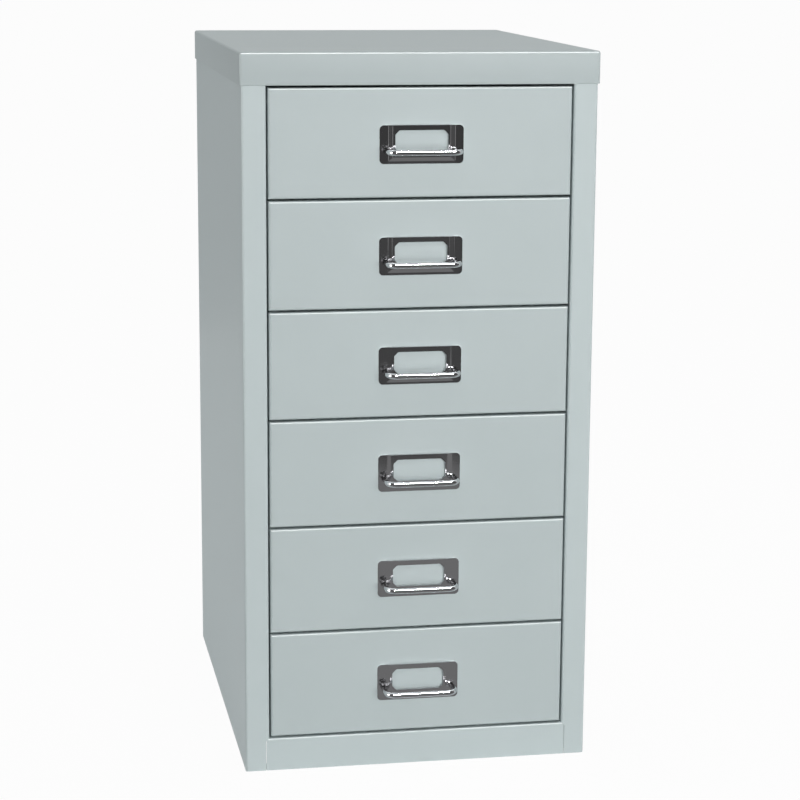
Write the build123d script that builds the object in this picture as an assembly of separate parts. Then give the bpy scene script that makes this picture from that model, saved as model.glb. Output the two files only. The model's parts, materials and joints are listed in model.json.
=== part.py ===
"""Small sheet-steel drawer cabinet: a folded carcass under a separate top cap, with a stack of shallow
drawers that run in side channels, each with a bright label plate and a bent wire pull.

Millimetres. +X right, +Y back, +Z up, with the origin under the middle of the whole object, on the floor.
"""
from build123d import *
import os
from math import cos, hypot, radians, sin

# ---------------------------------------------------------------- driving dimensions
DRAWER_COUNT = 6
FRONT_HEIGHT = 87.3          # face of one drawer
FRONT_GAP = 1.8              # dark line above, below and between the faces
SIDE_GAP = 1.4               # dark line beside a face
FRONT_DEPTH = 13.0           # how far the folded drawer face reaches back
FACE_FOLD = 2.0              # outer radius of the folded edges round a face
FACE_RETURN = 14.0           # flange turned in behind a face, which the drawer's box is welded to

OPENING_WIDTH = 248.0        # between the two stiles
STILE_WIDTH = 19.7           # face of a stile
STILE_RETURN = 14.0          # the stile's second fold, back into the cabinet
CABINET_DEPTH = 380.0        # over the top cap
PLINTH_HEIGHT = 27.5
PLINTH_LAP = 2.4             # how far the plinth reaches past the opening on each side
PLINTH_SEAM = 0.4            # between the plinth's ends and the stiles
CAP_HEIGHT = 26.1
CAP_CLEARANCE = 0.3          # between the cap's skirt and the carcass
CAP_FOLD = 2.2               # outer radius of the cap's folds

SHEET = 0.9                  # carcass steel
CAP_SHEET = 1.0
DRAWER_SHEET = 0.8
BEND = 1.6                   # centre-line radius of the folds that show
FLANGE = 14.0                # inward flanges at the top, bottom and rear of the sides

POST_WIDTH = 30.0            # hat section that carries the runners
POST_INSET = 24.0            # from the stile's return, or from the back, to a post
RUNNER_LIP = 7.4             # inward reach of a runner's lips
RUNNER_SET = 0.6             # from the opening's edge out to a runner's web
RUNNER_START = 1.0           # from the stile's return to the runner
RUNNER_END = 6.0             # from the back panel to the runner
RUN_GAP = 0.3                # running clearance of drawer in runner
STOP_HEIGHT = 3.0
STOP_THICKNESS = 1.2

BOX_WALL = 68.0              # height of a drawer's side
BOX_LIFT = 2.0               # drawer's floor above the lower edge of its face
BOX_REAR_GAP = 8.0           # behind the closed drawer
RAIL_WIDTH = 8.2             # the drawer's out-turned top edge
RAIL_DROP = 5.0              # and its down-turned lip
REAR_WALL_DROP = 8.0         # the rear wall is this much lower than the sides
GLIDE_LENGTH = 40.0
GLIDE_CLEARANCE = 0.1

PLATE_WIDTH = 67.8           # bright label plate behind the pull
PLATE_HEIGHT = 30.6
PLATE_CORNER = 3.4
PLATE_SHEET = 0.8
PLATE_FOOT = 8.2             # flat flange on each side
PLATE_SILL = 2.4             # and the narrower one along the bottom
PLATE_DROP = 1.5             # middle of the plate below the middle of the face
CARD_ROOM = 1.4              # card pocket behind the raised middle, open at the top
PRESS_ANGLE = 38.0           # slope of the raised middle's edges
WINDOW_WIDTH = 43.0
WINDOW_HEIGHT = 18.0
WINDOW_CHAMFER = 3.4
WINDOW_DROP = 3.9            # from the plate's top edge

WIRE_RADIUS = 2.3            # bent wire pull
WIRE_SIDES = 12              # flats that stand for the round wire
BEND_STEPS = 4               # and straight steps that stand for each of its bends
LEG_INSET = 5.4              # from the plate's side edge to the middle of a leg
PULL_REACH = 24.0            # from the drawer's face to the front of the bar
PULL_BEND = 8.0
PULL_DROP = 20.1             # middle of the wire, below the plate's top edge
WIRE_CLEARANCE = 0.1
WIRE_TAIL = 4.2              # behind the inside of the drawer's face
NUT_ACROSS_FLATS = 8.0
NUT_SIDES = 6
NUT_THICKNESS = 2.2
NUT_BORE_GAP = 0.05

# ---------------------------------------------------------------- worked-out places
PITCH = FRONT_HEIGHT + FRONT_GAP
FIRST_FRONT = PLINTH_HEIGHT + FRONT_GAP
CAP_BOTTOM = FIRST_FRONT + DRAWER_COUNT * PITCH
CABINET_TOP = CAP_BOTTOM + CAP_HEIGHT
CARCASS_TOP = CABINET_TOP - CAP_SHEET
CAP_OVERHANG = CAP_SHEET + CAP_CLEARANCE

HALF_OPENING = OPENING_WIDTH / 2
HALF_BODY = HALF_OPENING + STILE_WIDTH
HALF_INSIDE = HALF_BODY - SHEET
HALF_CAP = HALF_BODY + CAP_OVERHANG

FACE_Y = (PULL_REACH + CAP_OVERHANG - CABINET_DEPTH) / 2
REAR_Y = FACE_Y - CAP_OVERHANG + CABINET_DEPTH - CAP_OVERHANG
BACK_Y = REAR_Y - 2 * SHEET                     # inner face of the back panel

FRONT_HALF_WIDTH = HALF_OPENING - SIDE_GAP
BOX_FRONT = FACE_Y + FRONT_DEPTH
BOX_REAR = BACK_Y - BOX_REAR_GAP
RAIL_OUTER = FRONT_HALF_WIDTH
WALL_OUTER = RAIL_OUTER - RAIL_WIDTH

RUNNER_WEB = HALF_OPENING + RUNNER_SET         # outer face of a runner, against its posts
RUNNER_FRONT = FACE_Y + STILE_RETURN + RUNNER_START
RUNNER_REAR = BACK_Y - RUNNER_END
TRAVEL = BOX_REAR - GLIDE_LENGTH - (RUNNER_FRONT + STOP_THICKNESS) - RUN_GAP


def box_between(low, high):
    """A plain block from its lowest to its highest corner."""
    size = [b - a for a, b in zip(low, high)]
    return Pos(*low) * Box(*size, align=(Align.MIN, Align.MIN, Align.MIN))


def left_of(shape):
    """The other hand of a shape."""
    return mirror(shape, about=Plane.YZ)


def edge_path(points, shift, radii):
    """One side of a bent sheet: the centre line moved sideways by shift, with a radius at each fold."""
    unit = []
    for (x0, y0), (x1, y1) in zip(points, points[1:]):
        run = hypot(x1 - x0, y1 - y0)
        unit.append(((x1 - x0) / run, (y1 - y0) / run))
    moved = []
    for i, (x, y) in enumerate(points):
        before = unit[max(i - 1, 0)]
        after = unit[min(i, len(unit) - 1)]
        normal = (-(before[1] + after[1]), before[0] + after[0])
        scale = shift / (1 + before[0] * after[0] + before[1] * after[1])
        moved.append((x + normal[0] * scale, y + normal[1] * scale))
    return FilletPolyline(*moved, radius=radii) if any(radii) else Polyline(*moved)


def bent_sheet(points, sheet, rounded=()):
    """Section of a folded sheet whose centre line runs through points.

    The folds numbered in rounded, counted from 0, are bent to a radius. The rest are sharp.
    """
    sides = []
    for shift in (sheet / 2, -sheet / 2):
        radii = []
        for i, ((x0, y0), (x1, y1), (x2, y2)) in enumerate(zip(points, points[1:], points[2:])):
            turns_left = (x1 - x0) * (y2 - y1) > (y1 - y0) * (x2 - x1)
            radius = BEND - shift if turns_left else BEND + shift
            radii.append(radius if i in rounded else 0)
        sides.append(edge_path(points, shift, radii))
    left, right = sides
    ends = Line(left @ 0, right @ 0) + Line(left @ 1, right @ 1)
    return make_face(left.edges() + right.edges() + ends.edges())


def prism_along_y(radius, sides, x, y, z, length):
    """A bar of so many flat sides, each radius from its middle line, that starts at y and runs back."""
    profile = Plane.XZ * RegularPolygon(radius, sides, major_radius=False)
    return Pos(x, y, z) * extrude(profile, length, dir=(0, 1, 0))


# ---------------------------------------------------------------- carcass
def side_panel():
    """Right side, folded from one sheet: stile and its return in front, flanges behind, above and below."""
    wall = HALF_BODY - SHEET / 2
    plan = bent_sheet(
        [
            (HALF_BODY - FLANGE, REAR_Y - SHEET / 2),
            (wall, REAR_Y - SHEET / 2),
            (wall, FACE_Y + SHEET / 2),
            (HALF_OPENING + SHEET / 2, FACE_Y + SHEET / 2),
            (HALF_OPENING + SHEET / 2, FACE_Y + STILE_RETURN),
        ],
        SHEET,
        rounded=(1, 2),
    )
    channel = bent_sheet(
        [
            (HALF_BODY - FLANGE, CARCASS_TOP - SHEET / 2),
            (wall, CARCASS_TOP - SHEET / 2),
            (wall, SHEET / 2),
            (HALF_BODY - FLANGE, SHEET / 2),
        ],
        SHEET,
    )
    start = FACE_Y + SHEET + BEND
    length = BACK_Y - SHEET / 2 - start
    panel = extrude(plan, CARCASS_TOP, dir=(0, 0, 1))
    panel += Pos(0, start, 0) * extrude(Plane.XZ * channel, length, dir=(0, 1, 0))
    # the stile is notched for the plinth's mitred corner, and its return stops above the cabinet floor
    panel -= plinth_outline(PLINTH_LAP + PLINTH_SEAM, STILE_RETURN)
    return panel - box_between(
        (0, start, 0),
        (HALF_OPENING + PLINTH_LAP + PLINTH_SEAM, FACE_Y + STILE_RETURN, PLINTH_HEIGHT + PLINTH_SEAM),
    )


def plinth_outline(lap, depth):
    """Block from the floor to the plinth's top, as wide as the opening and lap more on each side.

    Its upper corners slope in to the corners of the opening at 45 degrees.
    """
    half = HALF_OPENING + lap
    top = PLINTH_HEIGHT + PLINTH_SEAM
    outline = Polyline(
        (-half, 0), (half, 0), (half, top - lap), (HALF_OPENING, top),
        (-HALF_OPENING, top), (-half, top - lap), close=True,
    )
    block = extrude(Plane.XZ * make_face(outline.edges()), depth, dir=(0, 1, 0))
    return Pos(0, FACE_Y, 0) * block


def back_panel():
    """Flat sheet behind the drawers, against the inside of the rear flanges and clear of their bends."""
    half = HALF_INSIDE - BEND
    return box_between((-half, BACK_Y, 0), (half, BACK_Y + SHEET, CARCASS_TOP))


def base_tray():
    """Cabinet floor and plinth folded from one sheet, with a flange down each side wall."""
    floor = PLINTH_HEIGHT - SHEET / 2
    profile = bent_sheet(
        [
            (FACE_Y + FLANGE, SHEET / 2),
            (FACE_Y + SHEET / 2, SHEET / 2),
            (FACE_Y + SHEET / 2, floor),
            (BACK_Y, floor),
        ],
        SHEET,
        rounded=(1,),
    )
    half = HALF_OPENING + PLINTH_LAP
    tray = Pos(-half, 0, 0) * extrude(Plane.YZ * profile, 2 * half, dir=(1, 0, 0))
    inside_stile = FACE_Y + SHEET + BEND
    tray &= plinth_outline(PLINTH_LAP, inside_stile - FACE_Y) + box_between(
        (-half, inside_stile, 0), (half, BACK_Y, PLINTH_HEIGHT)
    )
    wing_end = BACK_Y - BEND
    wing = box_between(
        (HALF_OPENING, inside_stile, PLINTH_HEIGHT - SHEET), (HALF_INSIDE, wing_end, PLINTH_HEIGHT)
    )
    wing += box_between(
        (HALF_INSIDE - SHEET, inside_stile, PLINTH_HEIGHT - FLANGE), (HALF_INSIDE, wing_end, PLINTH_HEIGHT)
    )
    return tray + wing + left_of(wing)


def top_cap():
    """Pan that fits down over the carcass and stands proud of it all round."""
    pan = Box(2 * HALF_CAP, CABINET_DEPTH, CAP_HEIGHT)
    pan = fillet(pan.faces().sort_by(Axis.Z)[-1].edges(), CAP_FOLD)
    pan -= Pos(0, 0, -CAP_SHEET) * Box(
        2 * (HALF_CAP - CAP_SHEET), CABINET_DEPTH - 2 * CAP_SHEET, CAP_HEIGHT
    )
    return Pos(0, FACE_Y - CAP_OVERHANG + CABINET_DEPTH / 2, CABINET_TOP - CAP_HEIGHT / 2) * pan


def post(near_y):
    """Right-hand hat post, from the cabinet's floor to under the cap, that carries the runners."""
    web = RUNNER_WEB + SHEET / 2
    foot = HALF_INSIDE - SHEET / 2
    lap = FLANGE / 2
    plan = bent_sheet(
        [
            (foot, near_y - lap),
            (foot, near_y),
            (web, near_y),
            (web, near_y + POST_WIDTH),
            (foot, near_y + POST_WIDTH),
            (foot, near_y + POST_WIDTH + lap),
        ],
        SHEET,
    )
    height = CAP_BOTTOM - FRONT_GAP - PLINTH_HEIGHT
    return Pos(0, 0, PLINTH_HEIGHT) * extrude(plan, height, dir=(0, 0, 1))


def rail_top(level):
    """Height of the top of a drawer's rails. Level 0 is the lowest drawer."""
    return FIRST_FRONT + level * PITCH + BOX_LIFT + BOX_WALL


def runner(level):
    """Right-hand channel that a drawer's rail slides in, with a stop turned up at its front end."""
    top = rail_top(level) + RUN_GAP
    low = rail_top(level) - RAIL_DROP - RUN_GAP
    inner = RUNNER_WEB - RUNNER_LIP
    section = bent_sheet(
        [
            (inner, top + SHEET / 2),
            (RUNNER_WEB - SHEET / 2, top + SHEET / 2),
            (RUNNER_WEB - SHEET / 2, low - SHEET / 2),
            (inner, low - SHEET / 2),
        ],
        SHEET,
    )
    length = RUNNER_REAR - RUNNER_FRONT
    channel = Pos(0, RUNNER_FRONT, 0) * extrude(Plane.XZ * section, length, dir=(0, 1, 0))
    stop_half = (RAIL_WIDTH - 2 * DRAWER_SHEET) / 4
    middle = (inner + RAIL_OUTER - DRAWER_SHEET) / 2
    return channel + box_between(
        (middle - stop_half, RUNNER_FRONT, low - SHEET / 2),
        (middle + stop_half, RUNNER_FRONT + STOP_THICKNESS, low + STOP_HEIGHT),
    )


# ---------------------------------------------------------------- drawers
def drawer_box(level):
    """Folded tray with out-turned rails along its sides, a front wall behind the face and a rear wall."""
    top = rail_top(level)
    floor = top - BOX_WALL
    half = DRAWER_SHEET / 2
    rail = RAIL_OUTER - half
    wall = WALL_OUTER - half
    right = [
        (rail, top - RAIL_DROP),
        (rail, top - half),
        (wall, top - half),
        (wall, floor + half + BEND),
        (wall - BEND, floor + half),
    ]
    section = bent_sheet(right + [(-x, z) for x, z in reversed(right)], DRAWER_SHEET)
    tray = Pos(0, BOX_FRONT, 0) * extrude(Plane.XZ * section, BOX_REAR - BOX_FRONT, dir=(0, 1, 0))
    ends = {BOX_FRONT: top - DRAWER_SHEET, BOX_REAR - DRAWER_SHEET: top - REAR_WALL_DROP}
    for y, height in ends.items():
        end = box_between((-wall, y, floor + half), (wall, y + DRAWER_SHEET, height))
        tray += chamfer(end.edges().filter_by(Axis.Y).sort_by(Axis.Z)[:2], BEND)
    return tray


def face_middle(level):
    """Height of the middle of a drawer's face."""
    return FIRST_FRONT + level * PITCH + FRONT_HEIGHT / 2


def plate_top(level):
    """Height of the label plate's top edge."""
    return face_middle(level) - PLATE_DROP + PLATE_HEIGHT / 2


def wire_places(level):
    """Middle of each leg of the wire pull, on the drawer's face."""
    x = PLATE_WIDTH / 2 - LEG_INSET
    z = plate_top(level) - PULL_DROP
    return [(-x, z), (x, z)]


def drawer_front(level):
    """Face of a drawer, folded back round all four edges and turned in behind."""
    pan = Box(2 * FRONT_HALF_WIDTH, FRONT_DEPTH, FRONT_HEIGHT)
    pan = fillet(pan.faces().sort_by(Axis.Y)[0].edges(), FACE_FOLD)
    inside = (2 * (FRONT_HALF_WIDTH - DRAWER_SHEET), FRONT_HEIGHT - 2 * DRAWER_SHEET)
    pan -= Box(inside[0], FRONT_DEPTH - 2 * DRAWER_SHEET, inside[1])
    pan -= Box(
        2 * (FRONT_HALF_WIDTH - FACE_RETURN), FRONT_DEPTH, FRONT_HEIGHT - 2 * FACE_RETURN,
        align=(Align.CENTER, Align.MIN, Align.CENTER),
    )
    front = Pos(0, FACE_Y + FRONT_DEPTH / 2, face_middle(level)) * pan
    for x, z in wire_places(level):
        hole = WIRE_RADIUS + WIRE_CLEARANCE
        front -= prism_along_y(hole, WIRE_SIDES, x, FACE_Y - DRAWER_SHEET, z, 3 * DRAWER_SHEET)
    return front


def glides(level):
    """Two nylon blocks under the rear ends of the rails, which run in the channels and meet the stops."""
    top = rail_top(level) - DRAWER_SHEET
    low = rail_top(level) - RAIL_DROP
    block = box_between(
        (WALL_OUTER + GLIDE_CLEARANCE, BOX_REAR - GLIDE_LENGTH, low),
        (RAIL_OUTER - DRAWER_SHEET - GLIDE_CLEARANCE, BOX_REAR, top),
    )
    return [block, left_of(block)]


# ---------------------------------------------------------------- label plate and pull
def pressing(level, grow, height):
    """Raised middle of the label plate as a block with sloping sides, which runs out past the top edge."""
    width = PLATE_WIDTH - 2 * PLATE_FOOT + 2 * grow
    low = plate_top(level) - PLATE_HEIGHT + PLATE_SILL - grow
    high = plate_top(level) + PLATE_HEIGHT
    base = Plane.XZ * Rectangle(width, high - low)
    block = extrude(base, height, dir=(0, -1, 0), taper=90 - PRESS_ANGLE)
    return Pos(0, FACE_Y, (low + high) / 2) * block


def label_plate(level):
    """Bright pressed plate, flat against the face, whose raised middle has a window and holds a card."""
    middle = plate_top(level) - PLATE_HEIGHT / 2
    thickness = PLATE_SHEET / sin(radians(PRESS_ANGLE))
    raised = pressing(level, thickness, CARD_ROOM + PLATE_SHEET)
    outline = Plane.XZ * RectangleRounded(PLATE_WIDTH, PLATE_HEIGHT, PLATE_CORNER)
    plate = Pos(0, FACE_Y, middle) * extrude(outline, PLATE_SHEET, dir=(0, -1, 0))
    plate += raised & Pos(0, FACE_Y, middle) * extrude(outline, PLATE_HEIGHT, dir=(0, -1, 0))
    plate -= pressing(level, 0, CARD_ROOM)
    window = Plane.XZ * chamfer(Rectangle(WINDOW_WIDTH, WINDOW_HEIGHT).vertices(), WINDOW_CHAMFER)
    window_middle = plate_top(level) - WINDOW_DROP - WINDOW_HEIGHT / 2
    plate -= Pos(0, FACE_Y, window_middle) * extrude(window, PLATE_HEIGHT, both=True)
    for x, z in wire_places(level):
        hole = WIRE_RADIUS + WIRE_CLEARANCE
        plate -= prism_along_y(hole, WIRE_SIDES, x, FACE_Y - 2 * PLATE_SHEET, z, 3 * PLATE_SHEET)
    return plate


def wire_pull(level):
    """Wire bent to a wide D, whose legs pass through the plate and the drawer's face."""
    bar = FACE_Y - PULL_REACH + WIRE_RADIUS
    tail = FACE_Y + DRAWER_SHEET + WIRE_TAIL
    (left, z), (right, _) = wire_places(level)
    right_bend = []
    for step in range(BEND_STEPS + 1):
        angle = radians(90 * step / BEND_STEPS)
        right_bend.append(
            (right - PULL_BEND * (1 - sin(angle)), bar + PULL_BEND * (1 - cos(angle)), z)
        )
    left_bend = [(-x, y, z) for x, y, z in right_bend]
    path = Polyline((left, tail, z), *reversed(left_bend), *right_bend, (right, tail, z))
    section = Plane(path @ 0, z_dir=(0, -1, 0)) * RegularPolygon(WIRE_RADIUS, WIRE_SIDES)
    return sweep(section, path, transition=Transition.RIGHT)


def pull_nuts(level):
    """Push-on nuts that hold the legs of the wire behind the drawer's face."""
    made = []
    for x, z in wire_places(level):
        nut = prism_along_y(NUT_ACROSS_FLATS / 2, NUT_SIDES, x, FACE_Y + DRAWER_SHEET, z, NUT_THICKNESS)
        bore = prism_along_y(WIRE_RADIUS + NUT_BORE_GAP, WIRE_SIDES, x, FACE_Y, z, FRONT_DEPTH)
        made.append(nut - bore)
    return made


# ---------------------------------------------------------------- assembly
def build():
    """Every piece under its node name. Drawer 1 is the top one."""
    pieces = {
        "top_cap": top_cap(),
        "back_panel": back_panel(),
        "base_tray": base_tray(),
    }
    handed = {
        "side_panel": side_panel(),
        "post_front": post(FACE_Y + STILE_RETURN + POST_INSET),
        "post_rear": post(BACK_Y - POST_INSET - POST_WIDTH),
    }
    for number in range(1, DRAWER_COUNT + 1):
        level = DRAWER_COUNT - number
        handed[f"runner_{number}"] = runner(level)
        pieces[f"drawer_box_{number}"] = drawer_box(level)
        pieces[f"drawer_front_{number}"] = drawer_front(level)
        pieces[f"label_plate_{number}"] = label_plate(level)
        pieces[f"wire_pull_{number}"] = wire_pull(level)
        pieces[f"pull_nuts_{number}"] = pull_nuts(level)
        pieces[f"drawer_glides_{number}"] = glides(level)
    for name, shape in handed.items():
        pieces[f"{name}_right"] = shape
        pieces[f"{name}_left"] = left_of(shape)
    return pieces


os.makedirs("parts", exist_ok=True)
for node, shape in build().items():
    solids = [s for item in (shape if isinstance(shape, list) else [shape]) for s in item.solids()]
    export_step(Compound(children=solids) if len(solids) > 1 else solids[0], f"parts/{node}.step")

print("cabinet", 2 * HALF_CAP, "x", CABINET_DEPTH, "x", round(CABINET_TOP, 3), "travel", round(TRAVEL, 3))
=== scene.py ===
# %% [markdown]
# # A small steel drawer cabinet
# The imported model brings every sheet-metal piece at its real size. This lesson adds what the eye
# judges: the view, the even studio light, the powder coat, and bright pulls that are smooth enough
# to mirror things.

# %% Load the frame
import json
from math import radians

import bmesh
import bpy
from mathutils import Euler, Matrix, Quaternion, Vector

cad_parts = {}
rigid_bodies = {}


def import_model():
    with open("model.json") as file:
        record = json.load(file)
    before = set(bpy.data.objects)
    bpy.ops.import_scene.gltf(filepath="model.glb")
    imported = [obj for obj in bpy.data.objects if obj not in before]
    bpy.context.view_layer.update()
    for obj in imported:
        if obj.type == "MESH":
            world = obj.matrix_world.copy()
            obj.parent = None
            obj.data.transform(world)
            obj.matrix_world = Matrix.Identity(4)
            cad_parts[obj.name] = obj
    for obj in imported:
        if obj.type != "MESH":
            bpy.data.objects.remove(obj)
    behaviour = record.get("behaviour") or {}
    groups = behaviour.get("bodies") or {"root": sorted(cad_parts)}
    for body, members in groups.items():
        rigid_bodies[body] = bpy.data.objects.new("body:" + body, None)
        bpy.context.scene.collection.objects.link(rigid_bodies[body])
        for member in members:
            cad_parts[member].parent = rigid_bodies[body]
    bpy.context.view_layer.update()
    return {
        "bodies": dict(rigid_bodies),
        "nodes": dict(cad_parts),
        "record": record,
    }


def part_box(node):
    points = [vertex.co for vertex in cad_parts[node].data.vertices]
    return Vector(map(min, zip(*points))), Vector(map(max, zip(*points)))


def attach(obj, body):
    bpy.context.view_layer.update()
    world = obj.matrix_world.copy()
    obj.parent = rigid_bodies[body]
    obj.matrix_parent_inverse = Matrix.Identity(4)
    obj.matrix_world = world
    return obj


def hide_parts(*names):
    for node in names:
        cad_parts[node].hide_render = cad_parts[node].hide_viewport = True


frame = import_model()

scene = bpy.context.scene
scene.view_settings.view_transform = "Standard"
DRAWERS = sorted(name for name in frame["bodies"] if name.startswith("drawer_"))

# %% [markdown]
# ## Where the main faces are
# New pieces sit on the real ones, so their places are read from the frame and never typed in twice.

# %% Read the main faces
MM = 0.001
cap_low, cap_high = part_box("top_cap")
CABINET_TOP = cap_high.z
CABINET_MIDDLE = Vector((0, (cap_low.y + cap_high.y) / 2, CABINET_TOP / 2))
FACE_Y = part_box("drawer_front_1")[0].y
print("cap", [round(side, 4) for side in cap_high - cap_low], "with its top at", round(CABINET_TOP, 4))
print("drawer faces at y", round(FACE_Y, 4))

# %% [markdown]
# ## The view
# The photograph was taken from the left of the cabinet and a little above it, with a long lens, so
# its upright edges hardly lean together. A camera is a place, a direction and a lens. Here the place
# is measured from the cap's front edge, and the direction is a turn, a tilt and the smallest roll.

# %% Place the camera
QUARTER_TURN = radians(90)
VIEW_PLACE = Vector((-0.3418, cap_low.y - 1.7980, 0.6859))
VIEW_TURN = radians(10.259)
VIEW_TILT = radians(11.609)
VIEW_ROLL = radians(0.353)
VIEW_LENS = 103.66
SENSOR = 36.0

camera = bpy.data.objects.new("camera", bpy.data.cameras.new("camera"))
camera.data.sensor_width = SENSOR
camera.data.lens = VIEW_LENS
camera.location = VIEW_PLACE
aim = Euler((QUARTER_TURN - VIEW_TILT, 0, -VIEW_TURN)).to_quaternion()
camera.rotation_euler = (aim @ Quaternion((0, 0, 1), VIEW_ROLL)).to_euler()
scene.collection.objects.link(camera)
scene.camera = camera
print("camera stands", round((VIEW_PLACE - CABINET_MIDDLE).length, 2), "m from the cabinet's middle")

# %% [markdown]
# ## Shader sums as plain Python
# A material is a web of small sums. Wiring each Math node by hand hides the idea, so one class wraps
# a socket and gives it + and *, and a web has one method that adds any other kind of node. A finish
# is such a web that ends in the one shader of a material.

# %% Wrap a socket, and add nodes to a web
class Field:
    """A value that varies over a surface, held as a node's output socket."""

    def __init__(self, web, socket):
        self.web = web
        self.socket = socket

    def sum_with(self, operation, first, second):
        return self.web.node("ShaderNodeMath", {"operation": operation}, {0: first, 1: second})

    def __add__(self, other):
        return self.sum_with("ADD", self, other)

    def __radd__(self, other):
        return self.sum_with("ADD", other, self)

    def __mul__(self, other):
        return self.sum_with("MULTIPLY", self, other)

    def __rmul__(self, other):
        return self.sum_with("MULTIPLY", other, self)

    def __or__(self, other):
        return self.sum_with("MAXIMUM", self, other)


class Web:
    """The nodes of a material or of the world."""

    def __init__(self, tree):
        self.tree = tree

    def node(self, kind, settings, inputs, output=0):
        made = self.tree.nodes.new(kind)
        for name, value in settings.items():
            setattr(made, name, value)
        for name, value in inputs.items():
            if isinstance(value, Field):
                self.tree.links.new(value.socket, made.inputs[name])
            else:
                made.inputs[name].default_value = value
        return Field(self, made.outputs[output])

    def seen(self):
        """1 for rays that the camera or a mirror sends out, and 0 for those that gather light."""
        from_camera = self.node("ShaderNodeLightPath", {}, {}, "Is Camera Ray")
        from_mirror = self.node("ShaderNodeLightPath", {}, {}, "Is Glossy Ray")
        return from_camera | from_mirror


# %% Build a finish
MIX_COLOUR_LOW, MIX_COLOUR_HIGH, MIXED_COLOUR = 6, 7, 2  # where a Mix node keeps its colours


class Finish(Web):
    """A material and the one Principled shader that it ends in."""

    def __init__(self, name, **constants):
        self.material = bpy.data.materials.new(name)
        self.material.use_nodes = True
        super().__init__(self.material.node_tree)
        self.shader = self.tree.nodes["Principled BSDF"]
        for socket, value in constants.items():
            self.shader.inputs[socket.replace("_", " ")].default_value = value
        self.place = self.node("ShaderNodeTexCoord", {}, {}, "Object")

    def noise(self, size, detail=2.0, stretch=(1, 1, 1)):
        """A cloudy pattern from 0 to 1 whose patches are about size metres across."""
        scale = [way / size for way in stretch]
        place = self.node("ShaderNodeMapping", {}, {"Vector": self.place, "Scale": scale})
        return self.node("ShaderNodeTexNoise", {}, {"Vector": place, "Scale": 1.0, "Detail": detail})

    def colours(self, factor, low, high):
        """A colour between low and high."""
        sockets = {"Factor": factor, MIX_COLOUR_LOW: (*low, 1), MIX_COLOUR_HIGH: (*high, 1)}
        return self.node("ShaderNodeMix", {"data_type": "RGBA"}, sockets, MIXED_COLOUR)

    def bump(self, height):
        """The light and shade of a height in metres."""
        return self.node("ShaderNodeBump", {}, {"Height": height, "Distance": 1.0})

    def feed(self, **fields):
        for socket, value in fields.items():
            self.tree.links.new(value.socket, self.shader.inputs[socket.replace("_", " ")])
        print(self.material.name, "has", len(self.tree.nodes), "nodes")
        return self.material


# %% [markdown]
# ## Powder coat
# The cabinet is sprayed with a pale grey-green powder and baked. The skin is satin, with a very fine
# orange peel, and it varies a little in colour where the coat is thicker. A long slow wave stands
# for the sheet itself, which is never quite flat. Carcass and cap get lighter and darker copies of
# the same colour: painted light on the carcass and painted shade on the cap, to match how bright they
# look.

# %% Mix the powder coat
PAINT_THIN = (0.487, 0.556, 0.560)
PAINT_THICK = (0.515, 0.582, 0.587)
# Painted light and shade: the carcass colour is made lighter and the cap colour darker than the
# drawers'.
CARCASS_PAINTED_LIGHT = 1.08
CAP_PAINTED_SHADE = 0.945
PAINT_IOR = 1.5
PAINT_ROUGHNESS = 0.31
CLOUD_SIZE = 60 * MM
PEEL_SIZE = 1.1 * MM
PEEL_DEPTH = 0.012 * MM
SHEET_WAVE = 120 * MM
SHEET_WAVE_DEPTH = 0.10 * MM


# Makes a colour lighter or darker; this paints light and shade into the carcass and cap copies.
def shaded(colour, shade):
    return tuple(channel * shade for channel in colour)


def powder_coat(name, shade=1.0):
    finish = Finish(name, IOR=PAINT_IOR)
    cloud = finish.noise(CLOUD_SIZE, detail=3.0)
    peel = finish.noise(PEEL_SIZE, detail=3.0)
    wave = finish.noise(SHEET_WAVE, detail=0.0)
    return finish.feed(
        Base_Color=finish.colours(cloud, shaded(PAINT_THIN, shade), shaded(PAINT_THICK, shade)),
        Roughness=PAINT_ROUGHNESS + 0.06 * cloud + 0.05 * peel,
        Normal=finish.bump(peel * PEEL_DEPTH + wave * SHEET_WAVE_DEPTH),
    )


PAINTS = {
    "drawer": powder_coat("drawer_powder_coat"),
    # The carcass copy has painted light and the cap copy has painted shade.
    "carcass": powder_coat("carcass_powder_coat_painted_light", CARCASS_PAINTED_LIGHT),
    "cap": powder_coat("cap_powder_coat_painted_shade", CAP_PAINTED_SHADE),
}

# %% [markdown]
# ## Bright chromium plate
# The label plates and wire pulls are plated mild steel. Chromium is a mirror with a faint blue cast,
# and what makes it look real is what it mirrors, so the finish itself only adds a trace of polishing
# marks and of the smears that fingers leave.

# %% Mix the chromium
CHROMIUM = (0.60, 0.60, 0.615, 1)
CHROMIUM_ROUGHNESS = 0.06
POLISH_SIZE = 0.5 * MM
POLISH_DEPTH = 0.002 * MM
POLISH_STRETCH = (0.08, 1, 1)
SMEAR_SIZE = 9 * MM


def chromium():
    finish = Finish("bright_chromium", Metallic=1.0, Base_Color=CHROMIUM)
    polish = finish.noise(POLISH_SIZE, stretch=POLISH_STRETCH)
    smear = finish.noise(SMEAR_SIZE)
    return finish.feed(
        Roughness=CHROMIUM_ROUGHNESS + 0.03 * smear + 0.02 * polish,
        Normal=finish.bump(polish * POLISH_DEPTH),
    )


FINISHES = {"bright_chrome": chromium()}

# %% [markdown]
# ## Zinc and nylon
# Runners and push-on nuts are zinc plated. The zinc shows as a faint spangle, and the rolling of the
# strip leaves fine lines along it. The glides are plain nylon, which lets a little light in.

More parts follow.
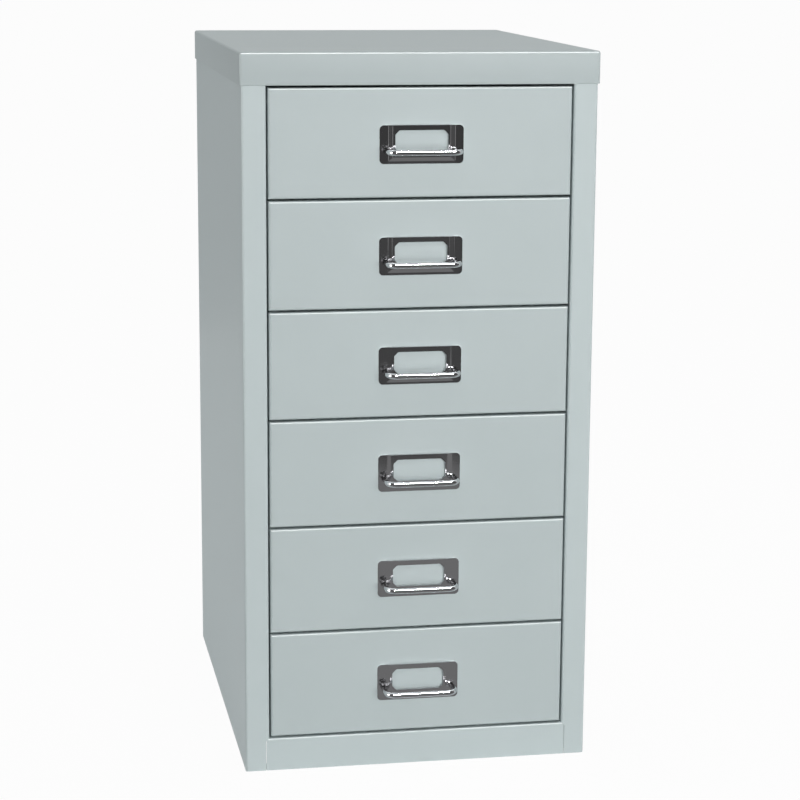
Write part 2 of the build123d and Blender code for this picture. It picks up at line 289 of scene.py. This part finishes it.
# %% Mix the zinc and the nylon
SPANGLE_SIZE = 4 * MM
DRAWN_LINE_SIZE = 0.4 * MM
DRAWN_LINE_DEPTH = 0.006 * MM
DRAWN_LINE_STRETCH = (1, 0.03, 1)
ZINC_ROUGHNESS = 0.30
NYLON_ROUGHNESS = 0.45
NYLON_LIGHT_DEPTH = (2 * MM, 2 * MM, 1.5 * MM)
MOTTLE_SIZE = 3 * MM
MOTTLE_DEPTH = 0.03 * MM


def zinc(name, low, high):
    finish = Finish(name, Metallic=1.0)
    spangle = finish.noise(SPANGLE_SIZE)
    drawn = finish.noise(DRAWN_LINE_SIZE, stretch=DRAWN_LINE_STRETCH)
    return finish.feed(
        Base_Color=finish.colours(spangle, low, high),
        Roughness=ZINC_ROUGHNESS + 0.15 * spangle + 0.08 * drawn,
        Normal=finish.bump(drawn * DRAWN_LINE_DEPTH),
    )


def nylon():
    finish = Finish("natural_nylon", Subsurface_Weight=0.1, Subsurface_Radius=NYLON_LIGHT_DEPTH)
    mottle = finish.noise(MOTTLE_SIZE)
    return finish.feed(
        Base_Color=finish.colours(mottle, (0.66, 0.64, 0.56), (0.74, 0.72, 0.64)),
        Roughness=NYLON_ROUGHNESS + 0.1 * mottle,
        Normal=finish.bump(mottle * MOTTLE_DEPTH),
    )


FINISHES["runner_steel"] = zinc("runner_zinc", (0.50, 0.51, 0.53), (0.62, 0.63, 0.64))
FINISHES["zinc_nut"] = zinc("nut_zinc", (0.42, 0.42, 0.40), (0.55, 0.54, 0.50))
FINISHES["nylon"] = nylon()

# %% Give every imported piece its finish
def finish_of(node, slot_name):
    if slot_name != "painted_steel":
        return FINISHES[slot_name]
    kind = "drawer" if node.startswith("drawer") else "cap" if node == "top_cap" else "carcass"
    return PAINTS[kind]


for part in frame["record"]["subparts"]:
    piece = frame["nodes"][part["node"]]
    finish = finish_of(part["node"], part["material_slot"])
    if not piece.material_slots:
        piece.data.materials.append(finish)
    for slot in piece.material_slots:
        slot.material = finish

# %% [markdown]
# ## From a bmesh to a piece of the cabinet
# Every new piece ends the same way: its faces are turned outwards, it is shaded smooth except at
# real corners, it is hung on the body that carries it, it takes its finish, and the imported piece
# that it stands for is hidden. Two small helpers save words further down: one bevels, and one stands a
# flat shape up.

# %% Turn a bmesh into a piece
TOUCHING = 0.001 * MM
CORNER_ANGLE = radians(32)


def finished_piece(name, mesh, body, stands_for, slot_name):
    bmesh.ops.remove_doubles(mesh, verts=mesh.verts, dist=TOUCHING)
    bmesh.ops.recalc_face_normals(mesh, faces=mesh.faces)
    for face in mesh.faces:
        face.smooth = True
    data = bpy.data.meshes.new(name)
    mesh.to_mesh(data)
    mesh.free()
    data.set_sharp_from_angle(angle=CORNER_ANGLE)
    data.materials.append(finish_of(stands_for, slot_name))
    made = bpy.data.objects.new(name, data)
    scene.collection.objects.link(made)
    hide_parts(stands_for)
    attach(made, body)
    return made


def soften(mesh, geometry, offset, segments, affect="EDGES"):
    bmesh.ops.bevel(
        mesh, geom=geometry, offset=offset, segments=segments, profile=0.5, affect=affect, material=-1
    )


def stand_up(mesh, verts):
    bmesh.ops.rotate(mesh, matrix=Matrix.Rotation(QUARTER_TURN, 3, "X"), verts=verts)


# %% [markdown]
# ## The cap
# The real cap is a pan folded from one sheet, and its four upright corners are welded and dressed
# round. A cube without its underside is bevelled on every edge that is left standing, and solidify
# gives the sheet its thickness. The cut edge round the bottom is then dressed too, which draws the
# thin dark line between the cap and the stiles.

# %% Fold the cap
CAP_SHEET = 1.0 * MM
CAP_FOLD = 2.2 * MM
FOLD_STEPS = 6
RIM_ROUND = 0.5 * MM
RIM_STEPS = 3
RIM_REACH = 0.01 * MM
NEARLY_UPRIGHT = 0.1


def is_outer_rim(edge):
    """True for the edges round the outside of the cap's open underside."""
    low = all(vert.co.z < cap_low.z + RIM_REACH for vert in edge.verts)
    sides = [face for face in edge.link_faces if abs(face.normal.z) < NEARLY_UPRIGHT]
    return low and len(sides) == 1 and all(
        (face.calc_center_median() - CABINET_MIDDLE).dot(face.normal) > 0 for face in sides
    )


def folded_cap():
    mesh = bmesh.new()
    bmesh.ops.create_cube(mesh, size=1.0)
    bmesh.ops.scale(mesh, vec=cap_high - cap_low, verts=mesh.verts)
    bmesh.ops.translate(mesh, vec=(cap_low + cap_high) / 2, verts=mesh.verts)
    mesh.faces.ensure_lookup_table()
    underside = min(mesh.faces, key=lambda face: face.calc_center_median().z)
    bmesh.ops.delete(mesh, geom=[underside], context="FACES_ONLY")
    soften(mesh, [edge for edge in mesh.edges if not edge.is_boundary], CAP_FOLD, FOLD_STEPS)
    bmesh.ops.recalc_face_normals(mesh, faces=mesh.faces)
    bmesh.ops.solidify(mesh, geom=mesh.faces[:], thickness=CAP_SHEET)
    soften(mesh, [edge for edge in mesh.edges if is_outer_rim(edge)], RIM_ROUND, RIM_STEPS)
    return mesh


cap = finished_piece("folded_cap", folded_cap(), "cabinet", "top_cap", "painted_steel")
print(cap.name, "has", len(cap.data.polygons), "faces")

# %% [markdown]
# ## The wire pulls
# Each pull is one length of round wire. The mesh is made as the wire is bent: a ring is pushed
# forward, swung round a bend, pushed along the bar, swung round again and pushed back through the
# face. Pushing is an extrude and swinging is a spin, so the bar is truly round and mirrors the lamps
# as a clean line.

# %% Bend the wire pulls
PULL_BEND = 8.0 * MM
WIRE_SEGMENTS = 32
BEND_STEPS = 14
WIRE_END = 0.4 * MM
WIRE_END_STEPS = 2


def push(mesh, rim, way):
    grown = bmesh.ops.extrude_edge_only(mesh, edges=rim)["geom"]
    verts = [v for v in grown if isinstance(v, bmesh.types.BMVert)]
    bmesh.ops.translate(mesh, vec=way, verts=verts)
    return [e for e in grown if isinstance(e, bmesh.types.BMEdge) and e.is_boundary]


def swing(mesh, rim, centre):
    turned = bmesh.ops.spin(
        mesh, geom=rim, cent=centre, axis=(0, 0, 1), dvec=(0, 0, 0), angle=QUARTER_TURN,
        steps=BEND_STEPS, use_merge=False, use_normal_flip=False, use_duplicate=False,
    )["geom_last"]
    return [e for e in turned if isinstance(e, bmesh.types.BMEdge)]


def round_pull(low, high):
    radius = (high.z - low.z) / 2
    height = (low.z + high.z) / 2
    left, right = low.x + radius, high.x - radius
    bend_y = low.y + radius + PULL_BEND
    mesh = bmesh.new()
    bmesh.ops.create_circle(mesh, cap_ends=False, segments=WIRE_SEGMENTS, radius=radius)
    stand_up(mesh, mesh.verts)
    bmesh.ops.translate(mesh, vec=(left, high.y, height), verts=mesh.verts)
    rim = push(mesh, mesh.edges[:], (0, bend_y - high.y, 0))
    rim = swing(mesh, rim, (left + PULL_BEND, bend_y, height))
    rim = push(mesh, rim, (right - left - 2 * PULL_BEND, 0, 0))
    rim = swing(mesh, rim, (right - PULL_BEND, bend_y, height))
    push(mesh, rim, (0, high.y - bend_y, 0))
    open_rims = [edge for edge in mesh.edges if edge.is_boundary]
    ends = bmesh.ops.holes_fill(mesh, edges=open_rims, sides=0)["faces"]
    ring = {edge for face in ends for edge in face.edges}
    soften(mesh, list(ring), WIRE_END, WIRE_END_STEPS)
    return mesh


for drawer in DRAWERS:
    number = drawer.rsplit("_", 1)[1]
    mesh = round_pull(*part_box(f"wire_pull_{number}"))
    pull = finished_piece(
        f"round_pull_{number}", mesh, drawer, f"wire_pull_{number}", "bright_chrome"
    )
print(len(DRAWERS), "wire pulls bent, of", len(pull.data.polygons), "faces each")

# %% [markdown]
# ## The pressed label plates
# A label plate is punched flat with its window and its two wire holes, and then pressed: the middle
# rises in a soft step, so that a card slides in behind it from above. The mesh goes through the same
# two tools. Filling between the outlines punches the blank. Cuts along the step give the metal
# somewhere to bend, and each point is then lifted by a smooth rise across the step.

# %% Punch the label plates
PLATE_CORNER = 3.4 * MM
PLATE_CORNER_STEPS = 8
WINDOW_SIZE = (43.0 * MM, 18.0 * MM)
WINDOW_DROP = 3.9 * MM
WINDOW_CHAMFER = 3.4 * MM
WINDOW_ROUND = 0.6 * MM
WINDOW_ROUND_STEPS = 2
WIRE_CLEARANCE = 0.1 * MM


def outline_box(mesh, width, height, middle, *corners):
    """Edges of an upright rectangle, with its corners worked in turn by each (size, steps)."""
    made = bmesh.ops.create_grid(mesh, x_segments=1, y_segments=1, size=0.5)["verts"]
    bmesh.ops.scale(mesh, vec=(width, height, 1), verts=made)
    stand_up(mesh, made)
    bmesh.ops.translate(mesh, vec=middle, verts=made)
    (face,) = mesh.faces
    for offset, steps in corners:
        soften(mesh, list(face.verts), offset, steps, affect="VERTICES")
        (face,) = mesh.faces
    bmesh.ops.delete(mesh, geom=[face], context="FACES_ONLY")


def punched_blank(low, high, leg_places, wire_radius):
    mesh = bmesh.new()
    middle = Vector((0, high.y, (low.z + high.z) / 2))
    outline_box(mesh, high.x - low.x, high.z - low.z, middle, (PLATE_CORNER, PLATE_CORNER_STEPS))
    window_middle = Vector((0, high.y, high.z - WINDOW_DROP - WINDOW_SIZE[1] / 2))
    cut_and_dressed = (WINDOW_CHAMFER, 1), (WINDOW_ROUND, WINDOW_ROUND_STEPS)
    outline_box(mesh, *WINDOW_SIZE, window_middle, *cut_and_dressed)
    for x, z in leg_places:
        hole = bmesh.ops.create_circle(
            mesh, cap_ends=False, segments=WIRE_SEGMENTS, radius=wire_radius + WIRE_CLEARANCE
        )["verts"]
        stand_up(mesh, hole)
        bmesh.ops.translate(mesh, vec=(x, high.y, z), verts=hole)
    bmesh.ops.triangle_fill(mesh, use_beauty=True, edges=mesh.edges[:], normal=(0, -1, 0))
    return mesh


# %% Press the label plates
PLATE_SHEET = 0.8 * MM
STEP_FROM_SIDE = (6.3 * MM, 11.2 * MM)
STEP_FROM_SILL = (1.7 * MM, 5.6 * MM)
STEP_CUTS = 10


def between(ends, share):
    return ends[0] + share * (ends[1] - ends[0])


def rise(distance, step):
    """0 before the step, 1 past it, and a smooth S between."""
    share = min(max((distance - step[0]) / (step[1] - step[0]), 0.0), 1.0)
    return share * share * (3 - 2 * share)


def pressed_plate(low, high, leg_places, wire_radius):
    mesh = punched_blank(low, high, leg_places, wire_radius)
    for cut in range(STEP_CUTS + 1):
        inset = between(STEP_FROM_SIDE, cut / STEP_CUTS)
        lift = between(STEP_FROM_SILL, cut / STEP_CUTS)
        for place, way in (
            ((low.x + inset, 0, 0), (1, 0, 0)),
            ((high.x - inset, 0, 0), (1, 0, 0)),
            ((0, 0, low.z + lift), (0, 0, 1)),
        ):
            geometry = mesh.verts[:] + mesh.edges[:] + mesh.faces[:]
            bmesh.ops.bisect_plane(mesh, geom=geometry, plane_co=place, plane_no=way, dist=TOUCHING)
    height = (high.y - low.y) - PLATE_SHEET
    for vert in mesh.verts:
        from_side = min(vert.co.x - low.x, high.x - vert.co.x)
        from_sill = vert.co.z - low.z
        vert.co.y -= height * min(rise(from_side, STEP_FROM_SIDE), rise(from_sill, STEP_FROM_SILL))
    for face in mesh.faces:
        if face.normal.y > 0:
            face.normal_flip()
    bmesh.ops.solidify(mesh, geom=mesh.faces[:], thickness=PLATE_SHEET)
    hindmost = max(vert.co.y for vert in mesh.verts)
    bmesh.ops.translate(mesh, vec=(0, high.y - hindmost, 0), verts=mesh.verts)
    return mesh


for drawer in DRAWERS:
    number = drawer.rsplit("_", 1)[1]
    pull_low, pull_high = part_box(f"wire_pull_{number}")
    wire_radius = (pull_high.z - pull_low.z) / 2
    leg_height = (pull_low.z + pull_high.z) / 2
    legs = [(pull_low.x + wire_radius, leg_height), (pull_high.x - wire_radius, leg_height)]
    mesh = pressed_plate(*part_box(f"label_plate_{number}"), legs, wire_radius)
    plate = finished_piece(
        f"pressed_plate_{number}", mesh, drawer, f"label_plate_{number}", "bright_chrome"
    )
print(len(DRAWERS), "label plates pressed, of", len(plate.data.polygons), "faces each")

# %% [markdown]
# ## Floor
# The photograph has a white ground. The floor is white to the camera and to a mirror, and the small
# share of it that stays matt still takes a faint shadow of the cabinet.

# %% Lay the floor
WHITE = (1, 1, 1, 1)
FLOOR_SIZE = 120.0
FLOOR_GLOW = 0.96
FLOOR_COLOUR = (0.80, 0.80, 0.80, 1)
LYING = (0.0, 0.0)


def plain_plane(name, size, middle, stance=LYING):
    """A flat plane, first tilted up and then turned, as its stance says."""
    tilt, turn = stance
    mesh = bmesh.new()
    bmesh.ops.create_grid(mesh, x_segments=1, y_segments=1, size=0.5)
    bmesh.ops.scale(mesh, vec=(*size, 1), verts=mesh.verts)
    bmesh.ops.rotate(mesh, matrix=Matrix.Rotation(tilt, 3, "X"), verts=mesh.verts)
    bmesh.ops.rotate(mesh, matrix=Matrix.Rotation(turn, 3, "Z"), verts=mesh.verts)
    bmesh.ops.translate(mesh, vec=middle, verts=mesh.verts)
    data = bpy.data.meshes.new(name)
    mesh.to_mesh(data)
    mesh.free()
    made = bpy.data.objects.new(name, data)
    scene.collection.objects.link(made)
    return made


def floor_finish():
    material = bpy.data.materials.new("pale_floor")
    material.use_nodes = True
    web = Web(material.node_tree)
    web.tree.nodes.remove(web.tree.nodes["Principled BSDF"])
    matt = web.node("ShaderNodeBsdfDiffuse", {}, {"Color": FLOOR_COLOUR})
    glow = web.node("ShaderNodeEmission", {}, {"Color": WHITE})
    mix = web.node("ShaderNodeMixShader", {}, {0: web.seen() * FLOOR_GLOW, 1: matt, 2: glow})
    web.tree.links.new(mix.socket, web.tree.nodes["Material Output"].inputs["Surface"])
    return material


floor = plain_plane("floor", (FLOOR_SIZE, FLOOR_SIZE), (0, 0, 0))
floor.data.materials.append(floor_finish())
print("floor laid,", FLOOR_SIZE, "m across")

# %% [markdown]
# ## Cards for the chromium
# Chromium would mirror the white room and vanish into it, so cards stand round the cabinet, as in a
# real studio. Only mirrored rays see them, and each has its own even tone, where 1 is the white of
# the ground. The floor cards lie in front of the face from its foot outwards, the two bright bands
# give the bars their side lights, and the pale cards behind are what the cabinet's top mirrors.

# %% Stand the cards
UPRIGHT = (QUARTER_TURN, 0.0)
SIDEWAYS = (QUARTER_TURN, QUARTER_TURN)
ON_FLOOR = 2 * MM
COOL = (0.93, 1.0, 1.015, 1)
CARDS = (
    # name, tone, size, middle, stance, tint
    ("card_near_floor", 0.22, (6.0, 1.05), (0, FACE_Y - 0.525, ON_FLOOR), LYING, WHITE),
    ("card_far_floor", 0.08, (6.0, 3.4), (0, FACE_Y - 2.75, ON_FLOOR), LYING, WHITE),
    ("card_rear_floor", 0.80, (6.0, 2.0), (0, FACE_Y + 0.96, ON_FLOOR), LYING, COOL),
    ("card_front", 0.06, (6.0, 2.6), (0, FACE_Y - 4.4, 1.3), UPRIGHT, WHITE),
    ("card_left", 0.10, (3.6, 2.4), (-2.4, FACE_Y - 1.8, 1.2), SIDEWAYS, WHITE),
    ("card_right", 0.10, (3.6, 2.4), (2.4, FACE_Y - 1.8, 1.2), SIDEWAYS, WHITE),
    ("card_back", 0.60, (5.0, 1.3), (0, 1.9, 0.65), UPRIGHT, COOL),
    ("card_ceiling", 0.20, (6.0, 4.9), (0, -0.15, 2.7), LYING, WHITE),
    ("band_left", 0.40, (0.5, 1.6), (-0.95, FACE_Y - 2.9, 0.4), UPRIGHT, WHITE),
    ("band_right", 0.40, (0.5, 1.6), (1.45, FACE_Y - 2.9, 0.4), UPRIGHT, WHITE),
)


def card(name, tone, size, middle, stance, tint):
    made = plain_plane(name, size, middle, stance)
    paper = Finish(
        name, Base_Color=(0, 0, 0, 1), Roughness=1.0, Specular_IOR_Level=0.0,
        Emission_Color=tint, Emission_Strength=tone,
    )
    made.data.materials.append(paper.material)
    made.visible_camera = False
    made.visible_diffuse = False
    made.visible_shadow = False
    made.visible_transmission = False


for row in CARDS:
    card(*row)
print(len(CARDS), "cards stand round the cabinet")

# %% [markdown]
# ## Lamps
# The light in the photograph is soft and even, and it comes from the front. Two lamps light the
# paint and aren't mirrored. Two more are only mirrored: they draw the fine bright lines along the
# folds and the bars, as a window does, without making the faces paler.

# %% Hang the lamps
FRONT_MIDDLE = (0, FACE_Y, 0.3)
LIGHTING_LAMPS = (
    # name, size, power, place, target
    ("key", (1.8, 1.8), 66, (0.85, -3.2, 0.5), FRONT_MIDDLE),
    ("overhead", (0.7, 0.5), 4.7, (0.05, 0.0, 2.1), (0, 0, CABINET_TOP)),
)
MIRRORED_LAMPS = (
    ("sheen_above", (3.0, 0.25), 240, (0.2, FACE_Y - 1.5, 2.3), FRONT_MIDDLE),
    ("sheen_left", (0.5, 1.6), 35, (-2.2, FACE_Y - 0.3, 0.5), FRONT_MIDDLE),
)


def soft_box(name, size, power, place, target):
    lamp = bpy.data.lights.new(name, "AREA")
    lamp.shape = "RECTANGLE"
    lamp.size, lamp.size_y = size
    lamp.energy = power
    made = bpy.data.objects.new(name, lamp)
    made.location = place
    made.rotation_euler = (Vector(target) - Vector(place)).to_track_quat("-Z", "Y").to_euler()
    made.visible_camera = False
    scene.collection.objects.link(made)
    return made


for row in LIGHTING_LAMPS:
    soft_box(*row).visible_glossy = False
for row in MIRRORED_LAMPS:
    soft_box(*row).visible_diffuse = False

# %% [markdown]
# ## The room
# The walls of a pale room fill in what the lamps leave dark. The room shows as white where it is
# seen, and only its fill falls on the cabinet.

# %% Paint the room
ROOM_FILL = 0.42


def room_light():
    world = bpy.data.worlds.new("room")
    world.use_nodes = True
    web = Web(world.node_tree)
    levels = {"Value": web.seen(), "To Min": ROOM_FILL, "To Max": 1.0}
    strength = web.node("ShaderNodeMapRange", {}, levels)
    background = web.tree.nodes["Background"]
    background.inputs["Color"].default_value = WHITE
    web.tree.links.new(strength.socket, background.inputs["Strength"])
    return world


scene.world = room_light()
print("room fill", ROOM_FILL)

# %% [markdown]
# ## Close the lesson
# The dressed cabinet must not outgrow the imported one, so both boxes are written down to be compared.

# %% Write the sizes and finish
def corners(box):
    return [[round(float(v), 5) for v in corner] for corner in box]
